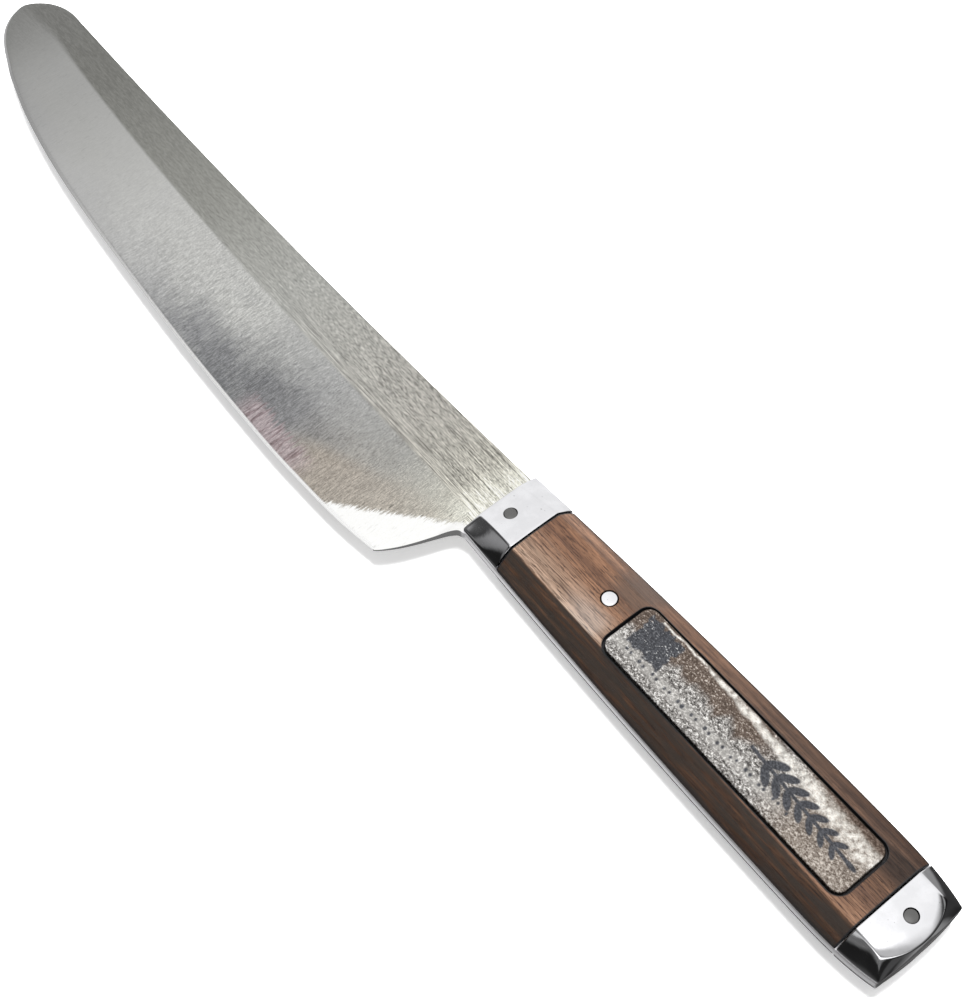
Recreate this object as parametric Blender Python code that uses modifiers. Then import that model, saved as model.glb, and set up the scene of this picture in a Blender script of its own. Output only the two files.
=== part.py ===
"""Full-tang kitchen knife lying on its side.

One steel piece makes the blade and the tang. Two polished front bolsters, two
wood scales and two polished butt caps are held on the tang by four through
pins, and a metal nameplate sits in a pocket of the upper scale.
Metres, +Z up. The point is at -X, the butt at +X, the cutting edge at -Y.
Outlines are written in millimetres from the front face of the bolsters on the
mid-plane of the tang, and place() moves them to the frame: the origin is under
the middle of the bounding box.
"""
import math

import bmesh
import bpy

# ---------------------------------------------------------------- dimensions
MM = 0.001
GAP = 0.3                 # clearance between pieces that touch

BLADE_LEN = 206.4         # point to bolster front
HANDLE_LEN = 127.0        # bolster front to the butt corners
BUTT_BULGE = 0.8          # how far the middle of the butt stands past its corners
HANDLE_HALF_MAX = 13.3    # half of the widest place of the handle

TANG_HALF_THICK = 1.3
TIP_HALF_THICK = 0.75     # half thickness of the blade body near the point
SHOULDER_THICK = 0.26     # half thickness where the small edge bevel starts
EDGE_THICK = 0.05         # half thickness of the very edge
EDGE_BEVEL = 1.0          # width of the small edge bevel

HALF_HEIGHT = 6.4         # tang mid-plane to the flat side faces of the handle
BOLSTER_NOSE = 3.9        # the same at the front face of the bolster
FLANK_ARC = math.radians(60)   # arc that the sloping sides follow
FLANK_BULGE = 0.25        # how closely they follow it: 0 is flat, 1 the full arc
BOLSTER_CURVE = 1.2       # how the bolster rises: 1 is a straight slope
X_BOLSTER = 12.2          # joint of bolster and wood
X_CAP = 117.2             # joint of wood and butt cap

CAP_ARC_START = 124.2     # where the flat of the butt cap starts to round off
CAP_ARC_END = 127.7       # where the arc of its rim ends, in the middle

SMALL_PIN_R = 1.5         # pins in the steel pieces
PIN_R = 1.75              # pins in the wood
BOLSTER_PIN = (5.0, -0.9)
SCALE_PIN_FRONT = (35.0, 1.5)
SCALE_PIN_REAR = (97.0, 0.0)
CAP_PIN = (122.3, 1.2)
CAP_PIN_HALF = 6.2        # half length of the pin in the butt caps

ROD_SIDES = 40
RIM_CHAMFER = 0.15        # on the rims of the pins and of the nameplate

PLATE_X = (41.6, 111.2)   # nameplate, front and rear end
PLATE_Y = (-7.0, 7.3)
PLATE_CORNER = 2.6
PLATE_THICK = 1.2
POCKET_BORDER = 0.7       # open border round the nameplate
POCKET_DEPTH = 1.5

# outlines: cutting edge from heel to point, round point, choil behind the heel
EDGE_POINTS = [(-9.6, -28.2), (-21.0, -29.7), (-36.0, -30.4), (-52.0, -30.5), (-85.0, -29.4),
               (-122.0, -26.9), (-148.0, -24.3), (-169.0, -20.7), (-184.0, -16.7), (-190.0, -14.5)]
LOWER_TIP = [(-190.0, -14.5), (-196.6, -11.8), (-201.6, -8.7), (-204.8, -5.0), (-206.2, -1.9)]
UPPER_TIP = [(-190.0, 8.6), (-194.6, 8.7), (-198.6, 7.9), (-202.3, 5.9), (-205.0, 3.0), (-206.2, 0.6)]
CHOIL_POINTS = [(0.0, -10.8), (-1.0, -11.3), (-2.1, -13.2), (-3.2, -16.2), (-4.5, -19.6),
                (-6.1, -23.2), (-7.8, -26.2), (-9.0, -27.9), (-9.6, -28.2)]


# ------------------------------------------------------------------- helpers
def smooth_path(points, steps):
    """Catmull-Rom curve through the points, with steps pieces per span."""
    out = []
    last = len(points) - 1
    for i in range(last):
        p0 = points[max(i - 1, 0)]
        p1, p2 = points[i], points[i + 1]
        p3 = points[min(i + 2, last)]
        for k in range(steps):
            t = k / steps
            pt = []
            for a, b, c, d in zip(p0, p1, p2, p3):
                pt.append(b + 0.5 * t * (c - a + t * (2 * a - 5 * b + 4 * c - d + t * (3 * (b - c) + d - a))))
            out.append(tuple(pt))
    out.append(points[last])
    return out


X_MID = (HANDLE_LEN + BUTT_BULGE - BLADE_LEN) / 2
Y_MID = (HANDLE_HALF_MAX + min(y for x, y in smooth_path(EDGE_POINTS, 3))) / 2


def place(x, y, z):
    return ((x - X_MID) * MM, (y - Y_MID) * MM, (z + HALF_HEIGHT) * MM)


def clear_scene():
    for ob in list(bpy.data.objects):
        bpy.data.objects.remove(ob, do_unlink=True)
    for coll in list(bpy.data.collections):
        bpy.data.collections.remove(coll)


def make_material(name, color, metallic, roughness):
    mat = bpy.data.materials.new(name)
    mat.use_nodes = True
    bsdf = mat.node_tree.nodes["Principled BSDF"]
    bsdf.inputs["Base Color"].default_value = (*color, 1.0)
    bsdf.inputs["Metallic"].default_value = metallic
    bsdf.inputs["Roughness"].default_value = roughness
    return mat


def make_collection(name):
    coll = bpy.data.collections.new(name)
    bpy.context.scene.collection.children.link(coll)
    return coll


def mesh_object(name, verts, faces, coll, mat=None):
    mesh = bpy.data.meshes.new(name)
    mesh.from_pydata(verts, [], faces)
    bm = bmesh.new()
    bm.from_mesh(mesh)
    bmesh.ops.remove_doubles(bm, verts=bm.verts, dist=1e-7)
    bmesh.ops.recalc_face_normals(bm, faces=bm.faces)
    bm.to_mesh(mesh)
    bm.free()
    ob = bpy.data.objects.new(name, mesh)
    coll.objects.link(ob)
    if mat is not None:
        mesh.materials.append(mat)
    return ob


def loft(rings, close_ends=True):
    """Verts and faces of a tube through rings with the same point count."""
    n = len(rings[0])
    verts = [place(*p) for ring in rings for p in ring]
    faces = []
    for i in range(len(rings) - 1):
        for j in range(n):
            a = i * n + j
            b = i * n + (j + 1) % n
            faces.append((a, b, b + n, a + n))
    if close_ends:
        faces.append(tuple(range(n)))
        faces.append(tuple(range(len(verts) - n, len(verts))))
    return verts, faces


def object_from(bm, name, location, coll, mat=None):
    mesh = bpy.data.meshes.new(name)
    bm.to_mesh(mesh)
    bm.free()
    ob = bpy.data.objects.new(name, mesh)
    ob.location = location
    coll.objects.link(ob)
    if mat is not None:
        mesh.materials.append(mat)
    return ob


def rod(name, centre, radius, z0, z1, coll, mat=None):
    """Upright pin or drill from z0 to z1."""
    bm = bmesh.new()
    bmesh.ops.create_cone(bm, cap_ends=True, segments=ROD_SIDES, radius1=radius * MM,
                          radius2=radius * MM, depth=(z1 - z0) * MM)
    return object_from(bm, name, place(*centre, (z0 + z1) / 2), coll, mat)


def rounded_block(name, x_range, y_range, corner, z0, z1, coll, mat=None):
    """Flat block whose four upright edges are round."""
    size = (x_range[1] - x_range[0], y_range[1] - y_range[0], z1 - z0)
    bm = bmesh.new()
    bmesh.ops.create_cube(bm, size=1.0)
    bmesh.ops.scale(bm, vec=[side * MM for side in size], verts=bm.verts)
    upright = [e for e in bm.edges if abs(e.verts[0].co.z - e.verts[1].co.z) > size[2] * MM / 2]
    bmesh.ops.bevel(bm, geom=upright, offset=corner * MM, segments=6, profile=0.5, affect='EDGES')
    middle = place(sum(x_range) / 2, sum(y_range) / 2, (z0 + z1) / 2)
    return object_from(bm, name, middle, coll, mat)


def chamfer_rims(ob):
    """Small chamfer on the sharp rims of a pin or plate."""
    mod = ob.modifiers.new("rims", 'BEVEL')
    mod.width = RIM_CHAMFER * MM
    mod.segments = 1
    mod.limit_method = 'ANGLE'
    mod.angle_limit = math.radians(60)


def cut(target, cutters):
    """Take the cutters out of the target, one Boolean each."""
    for cutter in cutters:
        cutter.hide_render = True
        cutter.display_type = 'WIRE'
        mod = target.modifiers.new("cut_" + cutter.name, 'BOOLEAN')
        mod.operation = 'DIFFERENCE'
        mod.solver = 'EXACT'
        mod.object = cutter


# ------------------------------------------------------------ handle outline
def half_width(x):
    """Half width of the handle at the tang."""
    if x < 105.0:
        return HANDLE_HALF_MAX - 2.9 * ((105.0 - x) / 105.0) ** 2
    return HANDLE_HALF_MAX - 1.9 * ((x - 105.0) / 22.0) ** 3


def flat_half(x):
    """Half width of the flat on the side face of the handle."""
    return 5.6 + 0.95 * min(x, X_BOLSTER) / X_BOLSTER + 0.0185 * max(x - X_BOLSTER, 0.0)


def half_ring(x, height, side, base, width=None, flat=None, steps=6):
    """Cross-section of one handle half: flat top, sloping sides, flat base."""
    w = half_width(x) if width is None else width
    u = flat_half(x) if flat is None else flat
    ring = []
    for k in range(steps + 1):
        t = k / steps
        arc_in = (1 - math.cos(t * FLANK_ARC)) / (1 - math.cos(FLANK_ARC))
        arc_up = math.sin(t * FLANK_ARC) / math.sin(FLANK_ARC)
        y = w - (w - u) * (t + (arc_in - t) * FLANK_BULGE)
        z = base + (height - base) * (t + (arc_up - t) * FLANK_BULGE)
        ring.append((x, y, side * z))
    return ring + [(px, -py, pz) for px, py, pz in reversed(ring)]


# --------------------------------------------------------------------- blade
def spine_y(x):
    if x > -108.0:
        return 7.45 + 2.1 * ((x + 108.0) / 108.0) ** 2
    return 7.45 + 1.2 * ((x + 108.0) / 85.0) ** 2


def grind_y(x):
    return -6.1 + 6.3 * (-x / 188.0) ** 3.2


def body_half(x):
    """Half thickness of the ungrounded part of the blade."""
    t = min(max(-x / 190.0, 0.0), 1.0)
    return TANG_HALF_THICK - 0.05 + (TIP_HALF_THICK - TANG_HALF_THICK + 0.05) * t


def edge_line(x):
    """Cutting edge carried straight on past the heel, under the choil."""
    return -28.2 + (x + 9.6) * 0.12


def station(spine, grind, edge, edge_half, thick):
    """Eight-point section: spine, grind line, edge shoulder, edge, both faces."""
    f = EDGE_BEVEL / math.hypot(grind[0] - edge[0], grind[1] - edge[1])
    f = min(f, 0.5)
    mx, my = edge[0] + (grind[0] - edge[0]) * f, edge[1] + (grind[1] - edge[1]) * f
    shoulder = SHOULDER_THICK
    if edge_half > SHOULDER_THICK:
        shoulder = edge_half + (thick - edge_half) * f
    upper = [(*spine, thick), (*grind, thick), (mx, my, shoulder), (*edge, edge_half)]
    return upper + [(px, py, -pz) for px, py, pz in reversed(upper)]


def build_blade(coll, mat):
    rings = []
    # tang, from the butt to the bolster front
    tang_x = [HANDLE_LEN + BUTT_BULGE, HANDLE_LEN + 0.6, HANDLE_LEN]
    tang_w = [3.5, 7.2, half_width(HANDLE_LEN)]
    x = 124.5
    while x > 105.0:
        tang_x.append(x)
        tang_w.append(half_width(x))
        x -= 2.5
    while x > 0.1:
        tang_x.append(x)
        tang_w.append(half_width(x))
        x -= 7.5
    t = TANG_HALF_THICK
    for x, w in zip(tang_x, tang_w):
        upper = [(x, w, t), (x, w / 3, t), (x, -w / 3, t), (x, -w, t)]
        rings.append(upper + [(px, py, -pz) for px, py, pz in reversed(upper)])
    # choil: the grind runs out under the bolster
    for i, (x, y) in enumerate(smooth_path(CHOIL_POINTS, 2)[:-1]):
        thick = body_half(x) if i else t
        run_out = min(1.0, -x / 3.0)
        grind = grind_y(x) * run_out + (y + 1.6) * (1 - run_out)
        slope = (grind - y) / (grind - edge_line(x))
        edge_half = thick + (SHOULDER_THICK - thick) * slope * run_out
        rings.append(station((x, spine_y(x)), (x, grind), (x, y), edge_half, thick))
    # ground blade from the heel to the start of the point
    for x, y in smooth_path(EDGE_POINTS, 3):
        rings.append(station((x, spine_y(x)), (x, grind_y(x)), (x, y), EDGE_THICK, body_half(x)))
    # round point: spine and edge close in on the grind line
    upper, lower = smooth_path(UPPER_TIP, 4), smooth_path(LOWER_TIP, 5)
    for spine, edge in list(zip(upper, lower))[1:]:
        t = (spine[0] - upper[0][0]) / (-BLADE_LEN - upper[0][0])
        grind = (spine[0], grind_y(-190.0) - 0.6 * t)
        thick = TIP_HALF_THICK - (TIP_HALF_THICK - 0.3) * t * t
        rings.append(station(spine, grind, edge, EDGE_THICK, thick))
    rings.append(station((-BLADE_LEN, 0.0), (-BLADE_LEN, -0.6), (-BLADE_LEN, -1.2), EDGE_THICK, 0.28))
    verts, faces = loft(rings)
    return mesh_object("blade", verts, faces, coll, mat)


# -------------------------------------------------------------------- handle
def bolster_height(x):
    """The bolster rises from its nose to the full height at the wood."""
    return BOLSTER_NOSE + (HALF_HEIGHT - BOLSTER_NOSE) * (1 - (1 - x / X_BOLSTER) ** BOLSTER_CURVE)


def build_bolster(name, side, coll, mat):
    rings = []
    for k in range(7):
        x = (X_BOLSTER - GAP / 2) * k / 6
        rings.append(half_ring(x, bolster_height(x), side, TANG_HALF_THICK + GAP))
    verts, faces = loft(rings)
    return mesh_object(name, verts, faces, coll, mat)


def build_scale(name, side, coll, mat):
    x0, x1 = X_BOLSTER + GAP / 2, X_CAP - GAP / 2
    rings = []
    for k in range(15):
        x = x0 + (x1 - x0) * k / 14
        rings.append(half_ring(x, HALF_HEIGHT, side, TANG_HALF_THICK + GAP))
    verts, faces = loft(rings)
    return mesh_object(name, verts, faces, coll, mat)


def build_cap(name, side, coll, mat):
    """Butt cap: its flat ends in an arc, and the corners slope down to the tang."""
    base = TANG_HALF_THICK + GAP
    x0 = X_CAP + GAP / 2
    rings = []
    for x in (x0, 120.0, 122.2, CAP_ARC_START, 125.0, 125.8, 126.5, 127.0, 127.4):
        f = max(0.0, (x - CAP_ARC_START) / (CAP_ARC_END - CAP_ARC_START))
        flat = 8.6 * math.sqrt(max(1 - f, 0.0)) + 0.9 * f
        height = HALF_HEIGHT - 0.75 * ((x - x0) / (CAP_ARC_END - x0)) ** 3
        width = half_width(min(x, HANDLE_LEN)) - 0.6 * max(0.0, x - HANDLE_LEN) / 0.4
        rings.append(half_ring(x, height, side, base, width, flat))
    verts, faces = loft(rings)
    return mesh_object(name, verts, faces, coll, mat)


def main():
    clear_scene()
    parts = make_collection("bread_knife")
    cutters = make_collection("cutters")

    blade_steel = make_material("blade_steel", (0.55, 0.55, 0.53), 1.0, 0.32)
    polished = make_material("polished_steel", (0.72, 0.72, 0.71), 1.0, 0.10)
    wood = make_material("rosewood", (0.16, 0.075, 0.045), 0.0, 0.45)
    pewter = make_material("pewter", (0.46, 0.43, 0.39), 1.0, 0.38)

    blade = build_blade(parts, blade_steel)
    top = HALF_HEIGHT
    bolsters = [build_bolster("front_bolster_upper", 1, parts, polished),
                build_bolster("front_bolster_lower", -1, parts, polished)]
    scales = [build_scale("wood_scale_upper", 1, parts, wood),
              build_scale("wood_scale_lower", -1, parts, wood)]
    caps = [build_cap("butt_cap_upper", 1, parts, polished),
            build_cap("butt_cap_lower", -1, parts, polished)]

    # nameplate in its pocket, level with the wood
    floor = top - POCKET_DEPTH
    plate = rounded_block("nameplate", PLATE_X, PLATE_Y, PLATE_CORNER, floor + GAP,
                          floor + GAP + PLATE_THICK, parts, pewter)
    chamfer_rims(plate)
    border = POCKET_BORDER
    pocket = rounded_block("pocket_cutter", (PLATE_X[0] - border, PLATE_X[1] + border),
                           (PLATE_Y[0] - border, PLATE_Y[1] + border), PLATE_CORNER + border,
                           floor, top + 2.0, cutters)

    # pins: name, centre, radius, lower end, upper end, pieces that they pass through
    bolster_top = bolster_height(BOLSTER_PIN[0])
    pins = [("bolster_pin", BOLSTER_PIN, SMALL_PIN_R, bolster_top, bolster_top, bolsters),
            ("scale_pin_front", SCALE_PIN_FRONT, PIN_R, top, top, scales),
            ("scale_pin_rear", SCALE_PIN_REAR, PIN_R, top, floor, scales),
            ("cap_pin", CAP_PIN, SMALL_PIN_R, CAP_PIN_HALF, CAP_PIN_HALF, caps)]
    drills = {}
    for name, centre, radius, low, high, halves in pins:
        pin = rod(name, centre, radius, -low, high, parts, polished)
        chamfer_rims(pin)
        drill = rod(name + "_drill", centre, radius + GAP, -top - 2.0, top + 2.0, cutters)
        drills[name] = drill
        for half in halves:
            cut(half, [drill])
    cut(scales[0], [pocket])
    cut(blade, list(drills.values()))


main()
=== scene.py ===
"""Looks of a full-tang kitchen knife that lies on its side.

Every piece stands for one CAD node. Shapes are written in millimetres from the
front face of the bolsters on the mid-plane of the tang: x towards the butt, -y
the cutting edge, z up. build_mesh() moves them to the frame.
"""
import math

import bmesh
import bpy
import numpy as np
from mathutils import Matrix, Vector


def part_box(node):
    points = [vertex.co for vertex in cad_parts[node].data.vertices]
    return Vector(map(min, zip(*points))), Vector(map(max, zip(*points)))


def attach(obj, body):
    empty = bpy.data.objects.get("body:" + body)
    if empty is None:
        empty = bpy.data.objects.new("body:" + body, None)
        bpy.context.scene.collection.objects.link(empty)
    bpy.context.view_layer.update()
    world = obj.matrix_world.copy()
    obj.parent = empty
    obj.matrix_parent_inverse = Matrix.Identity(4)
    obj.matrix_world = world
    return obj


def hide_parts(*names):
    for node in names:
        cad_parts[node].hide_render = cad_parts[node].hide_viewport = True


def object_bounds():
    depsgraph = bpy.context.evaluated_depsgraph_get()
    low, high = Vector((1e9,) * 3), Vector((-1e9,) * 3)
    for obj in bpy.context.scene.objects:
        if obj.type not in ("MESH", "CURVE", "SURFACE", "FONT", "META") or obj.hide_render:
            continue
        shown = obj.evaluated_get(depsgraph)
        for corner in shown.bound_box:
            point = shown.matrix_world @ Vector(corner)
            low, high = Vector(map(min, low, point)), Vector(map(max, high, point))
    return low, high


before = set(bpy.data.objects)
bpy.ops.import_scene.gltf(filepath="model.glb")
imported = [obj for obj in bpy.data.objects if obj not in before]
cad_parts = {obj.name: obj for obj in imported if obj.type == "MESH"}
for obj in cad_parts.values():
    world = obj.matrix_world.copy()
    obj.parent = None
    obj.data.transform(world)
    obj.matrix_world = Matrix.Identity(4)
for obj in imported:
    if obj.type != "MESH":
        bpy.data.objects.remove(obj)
cad_low, cad_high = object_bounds()

# ---- sizes from CAD
MM = 0.001
bolster_low, bolster_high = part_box("front_bolster_upper")
scale_low, scale_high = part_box("wood_scale_upper")
cap_low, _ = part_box("butt_cap_upper")
blade_low, blade_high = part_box("blade")
plate_low, plate_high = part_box("nameplate")
ORIGIN = np.array([bolster_low.x, (scale_low.y + scale_high.y) / 2, (blade_low.z + blade_high.z) / 2])

HALF_HEIGHT = (scale_high.z - ORIGIN[2]) / MM
HANDLE_HALF_MAX = (scale_high.y - scale_low.y) / 2 / MM
BUTT_END = (blade_high.x - ORIGIN[0]) / MM
BLADE_LEN = (ORIGIN[0] - blade_low.x) / MM
TANG_HALF = (blade_high.z - blade_low.z) / 2 / MM
BASE = (scale_low.z - ORIGIN[2]) / MM
X_BOLSTER = (bolster_high.x - ORIGIN[0]) / MM
X_SCALE = ((scale_low.x - ORIGIN[0]) / MM, (scale_high.x - ORIGIN[0]) / MM)
X_CAP = (cap_low.x - ORIGIN[0]) / MM
PLATE_X = ((plate_low.x - ORIGIN[0]) / MM, (plate_high.x - ORIGIN[0]) / MM)
PLATE_Y = ((plate_low.y - ORIGIN[1]) / MM, (plate_high.y - ORIGIN[1]) / MM)
PLATE_Z = ((plate_low.z - ORIGIN[2]) / MM, (plate_high.z - ORIGIN[2]) / MM)

# ---- sizes of the looks
BUTT_BULGE = 0.8
X_BUTT = BUTT_END - BUTT_BULGE
TIP_HALF = 0.75
SHOULDER_HALF = 0.26
EDGE_HALF = 0.05
EDGE_BEVEL = 1.0
GRIND_SOFT = 0.6
CHOIL_WALL = -2.0         # mark of the blunt wall of the choil in from_edge
BOLSTER_NOSE = 3.9
BOLSTER_CURVE = 1.2
FLANK_ARC = math.radians(60)
FLANK_BULGE = 0.25
FOOT_ROUND = 0.5
NOSE_ROUND = 0.5
CROWN = 0.14
CREASE_ROUND = 0.35
FLANK_STEPS = 15
TOP_STEPS = 14
BOLSTER_LEN = 12.2
FLAT_NOSE = 5.6
FLAT_RISE = 0.95          # over the length of the bolster
FLAT_SPREAD = 0.0185      # mm per mm behind it
WIDEST_X = 105.0
TIP_X = -190.0
WOOD_CROWN = 0.32
CAP_ARC_START = 124.2
CAP_ARC_BULGE = 3.2
CAP_ARC_POWER = 0.8
CAP_FOOT_BULGE = 0.45
CAP_RIM_HALF = 8.8
CAP_DROP = 0.30
CAP_ROLL = 0.44
CAP_ROLL_START = 0.62
CAP_BEVEL = 0.24
PLATE_CORNER = 2.6
POCKET_BORDER = 0.5
POCKET_DEPTH = 1.5

EDGE_POINTS = [(-9.6, -28.2), (-21.0, -29.7), (-36.0, -30.4), (-52.0, -30.5), (-85.0, -29.4),
               (-122.0, -26.9), (-148.0, -24.3), (-169.0, -20.7), (-184.0, -16.7), (-190.0, -14.5)]
LOWER_TIP = [(-190.0, -14.5), (-196.6, -11.8), (-201.6, -8.7), (-204.8, -5.0), (-206.2, -1.9)]
UPPER_TIP = [(-190.0, 8.6), (-194.6, 8.7), (-198.6, 7.9), (-202.3, 5.9), (-205.0, 3.0), (-206.2, 0.6)]
CHOIL_POINTS = [(0.0, -10.8), (-1.0, -11.3), (-2.1, -13.2), (-3.2, -16.2), (-4.5, -19.6),
                (-6.1, -23.2), (-7.8, -26.2), (-9.0, -27.9), (-9.6, -28.2)]


# ---- helpers
def smooth_path(points, steps):
    """Catmull-Rom curve through the points, with steps pieces per span."""
    out = []
    last = len(points) - 1
    for i in range(last):
        p0 = points[max(i - 1, 0)]
        p1, p2 = points[i], points[i + 1]
        p3 = points[min(i + 2, last)]
        for k in range(steps):
            t = k / steps
            pt = []
            for a, b, c, d in zip(p0, p1, p2, p3):
                pt.append(b + 0.5 * t * (c - a + t * (2 * a - 5 * b + 4 * c - d + t * (3 * (b - c) + d - a))))
            out.append(tuple(pt))
    out.append(points[last])
    return out


def build_mesh(name, verts, faces, attributes=None):
    """Closed mesh from points in mm; attributes are one number per point."""
    mesh = bpy.data.meshes.new(name)
    mesh.from_pydata([tuple(p) for p in ORIGIN + np.asarray(verts) * MM], [], faces)
    for key, values in (attributes or {}).items():
        layer = mesh.attributes.new(key, 'FLOAT', 'POINT')
        layer.data.foreach_set("value", np.asarray(values, np.float32))
    bm = bmesh.new()
    bm.from_mesh(mesh)
    bmesh.ops.remove_doubles(bm, verts=bm.verts, dist=1e-7)
    bmesh.ops.recalc_face_normals(bm, faces=bm.faces)
    bm.to_mesh(mesh)
    bm.free()
    ob = bpy.data.objects.new(name, mesh)
    bpy.context.scene.collection.objects.link(ob)
    return ob


def loft(rings):
    """Points and faces of a closed tube through rings of equal point count."""
    n = len(rings[0])
    verts = np.concatenate([np.asarray(r, float) for r in rings])
    faces = []
    for i in range(len(rings) - 1):
        for j in range(n):
            a, b = i * n + j, i * n + (j + 1) % n
            faces.append((a, b, b + n, a + n))
    faces.append(tuple(range(n)))
    faces.append(tuple(range(len(verts) - n, len(verts))))
    return verts, faces


def apply_modifiers(ob):
    """Turn the evaluated shape into the object's own mesh."""
    graph = bpy.context.evaluated_depsgraph_get()
    mesh = bpy.data.meshes.new_from_object(ob.evaluated_get(graph))
    ob.modifiers.clear()
    old = ob.data
    ob.data = mesh
    bpy.data.meshes.remove(old)


def cut(ob, cutters):
    for cutter in cutters:
        mod = ob.modifiers.new("cut", 'BOOLEAN')
        mod.operation = 'DIFFERENCE'
        mod.solver = 'EXACT'
        mod.object = cutter
    apply_modifiers(ob)


def remove(objects):
    for ob in objects:
        bpy.data.objects.remove(ob, do_unlink=True)


def finish_piece(ob, mat, node, sharp=28.0):
    """Shade, paint and hang the piece on the body, in place of its CAD node."""
    ob.data.materials.clear()
    ob.data.materials.append(mat)
    ob.data.shade_smooth()
    ob.data.set_sharp_from_angle(angle=math.radians(sharp))
    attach(ob, "root")
    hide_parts(node)
    return ob


def turned(name, centre, profile, sides=56):
    """Round upright piece from (radius, z) pairs, bottom to top."""
    cx, cy = centre
    rings = []
    for r, z in profile:
        a = np.arange(sides) * 2 * math.pi / sides
        rings.append(np.stack([cx + r * np.cos(a), cy + r * np.sin(a), np.full(sides, z)], 1))
    verts, faces = loft(rings)
    return build_mesh(name, verts, faces)


# ---- materials
class Shader:
    """A material's node tree, with one short call per node."""

    def __init__(self, name):
        self.mat = bpy.data.materials.new(name)
        self.mat.use_nodes = True
        self.tree = self.mat.node_tree
        self.bsdf = self.tree.nodes["Principled BSDF"]
        coord = self.tree.nodes.new('ShaderNodeTexCoord')
        shift = self.vector('SUBTRACT', coord.outputs['Object'], tuple(ORIGIN))
        self.mm = self.vector('SCALE', shift, scale=1 / MM)

    def put(self, socket, value):
        if isinstance(value, bpy.types.NodeSocket):
            self.tree.links.new(value, socket)
        else:
            socket.default_value = value

    def vector(self, operation, a, b=None, scale=None):
        node = self.tree.nodes.new('ShaderNodeVectorMath')
        node.operation = operation
        self.put(node.inputs[0], a)
        if b is not None:
            self.put(node.inputs[1], b)
        if scale is not None:
            self.put(node.inputs['Scale'], scale)
        return node.outputs[0]

    def math(self, operation, a, b=0.0, clamp=False):
        node = self.tree.nodes.new('ShaderNodeMath')
        node.operation = operation
        node.use_clamp = clamp
        self.put(node.inputs[0], a)
        self.put(node.inputs[1], b)
        return node.outputs[0]

    def add(self, a, b):
        return self.math('ADD', a, b)

    def sub(self, a, b):
        return self.math('SUBTRACT', a, b)

    def mul(self, a, b):
        return self.math('MULTIPLY', a, b)

    def most(self, a, b):
        return self.math('MAXIMUM', a, b)

    def rest(self, a):
        """What a leaves of 1."""
        return self.sub(1.0, a)

    def around_one(self, factor, amount):
        """Factor drawn towards 1 where the amount is small."""
        return self.add(self.mul(self.sub(factor, 1.0), amount), 1.0)

    def noise(self, scale, detail, roughness, distortion=0.0, turn=0.0, offset=(0.0, 0.0, 0.0)):
        """Noise of scale cells per mm on each axis, turned by degrees about z."""
        mapping = self.tree.nodes.new('ShaderNodeMapping')
        self.put(mapping.inputs['Vector'], self.mm)
        mapping.inputs['Scale'].default_value = scale
        mapping.inputs['Rotation'].default_value = (0.0, 0.0, math.radians(turn))
        mapping.inputs['Location'].default_value = offset
        node = self.tree.nodes.new('ShaderNodeTexNoise')
        self.put(node.inputs['Vector'], mapping.outputs[0])
        node.inputs['Scale'].default_value = 1.0
        node.inputs['Detail'].default_value = detail
        node.inputs['Roughness'].default_value = roughness
        node.inputs['Distortion'].default_value = distortion
        return node.outputs['Fac']

    def attribute(self, name):
        node = self.tree.nodes.new('ShaderNodeAttribute')
        node.attribute_name = name
        return node.outputs['Fac']

    def axis(self, index):
        node = self.tree.nodes.new('ShaderNodeSeparateXYZ')
        self.put(node.inputs[0], self.mm)
        return node.outputs[index]

    def span(self, value, low, high, to_low=0.0, to_high=1.0, smooth=True):
        """Value mapped from low..high to to_low..to_high, and held outside."""
        node = self.tree.nodes.new('ShaderNodeMapRange')
        node.interpolation_type = 'SMOOTHSTEP' if smooth else 'LINEAR'
        self.put(node.inputs['Value'], value)
        node.inputs['From Min'].default_value = low
        node.inputs['From Max'].default_value = high
        node.inputs['To Min'].default_value = to_low
        node.inputs['To Max'].default_value = to_high
        return node.outputs['Result']

    def mix(self, fac, a, b):
        node = self.tree.nodes.new('ShaderNodeMix')
        node.data_type = 'RGBA'
        self.put(node.inputs[0], fac)
        self.put(node.inputs[6], a if isinstance(a, bpy.types.NodeSocket) else (*a, 1.0))
        self.put(node.inputs[7], b if isinstance(b, bpy.types.NodeSocket) else (*b, 1.0))
        return node.outputs[2]

    def ramp(self, fac, stops):
        node = self.tree.nodes.new('ShaderNodeValToRGB')
        self.put(node.inputs['Fac'], fac)
        elements = node.color_ramp.elements
        while len(elements) < len(stops):
            elements.new(0.5)
        for element, (position, color) in zip(elements, stops):
            element.position = position
            element.color = (*color, 1.0)
        return node.outputs['Color']

    def times(self, color, factor):
        """Colour scaled by a number or a socket."""
        return self.vector('SCALE', color, scale=factor)

    def box_distance(self, x_range, y_range, corner):
        """Distance in mm outside a rectangle with round corners, in plan."""
        middle = ((x_range[0] + x_range[1]) / 2, (y_range[0] + y_range[1]) / 2, 0.0)
        half = ((x_range[1] - x_range[0]) / 2 - corner, (y_range[1] - y_range[0]) / 2 - corner, 1e3)
        away = self.vector('ABSOLUTE', self.vector('SUBTRACT', self.mm, middle))
        out = self.vector('MAXIMUM', self.vector('SUBTRACT', away, half), (0.0, 0.0, 0.0))
        node = self.tree.nodes.new('ShaderNodeVectorMath')
        node.operation = 'LENGTH'
        self.put(node.inputs[0], out)
        return self.sub(node.outputs['Value'], corner)

    def bump(self, height, distance, strength):
        """Distance is in metres."""
        node = self.tree.nodes.new('ShaderNodeBump')
        node.inputs['Strength'].default_value = strength
        node.inputs['Distance'].default_value = distance
        self.put(node.inputs['Height'], height)
        return node.outputs['Normal']

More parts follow.
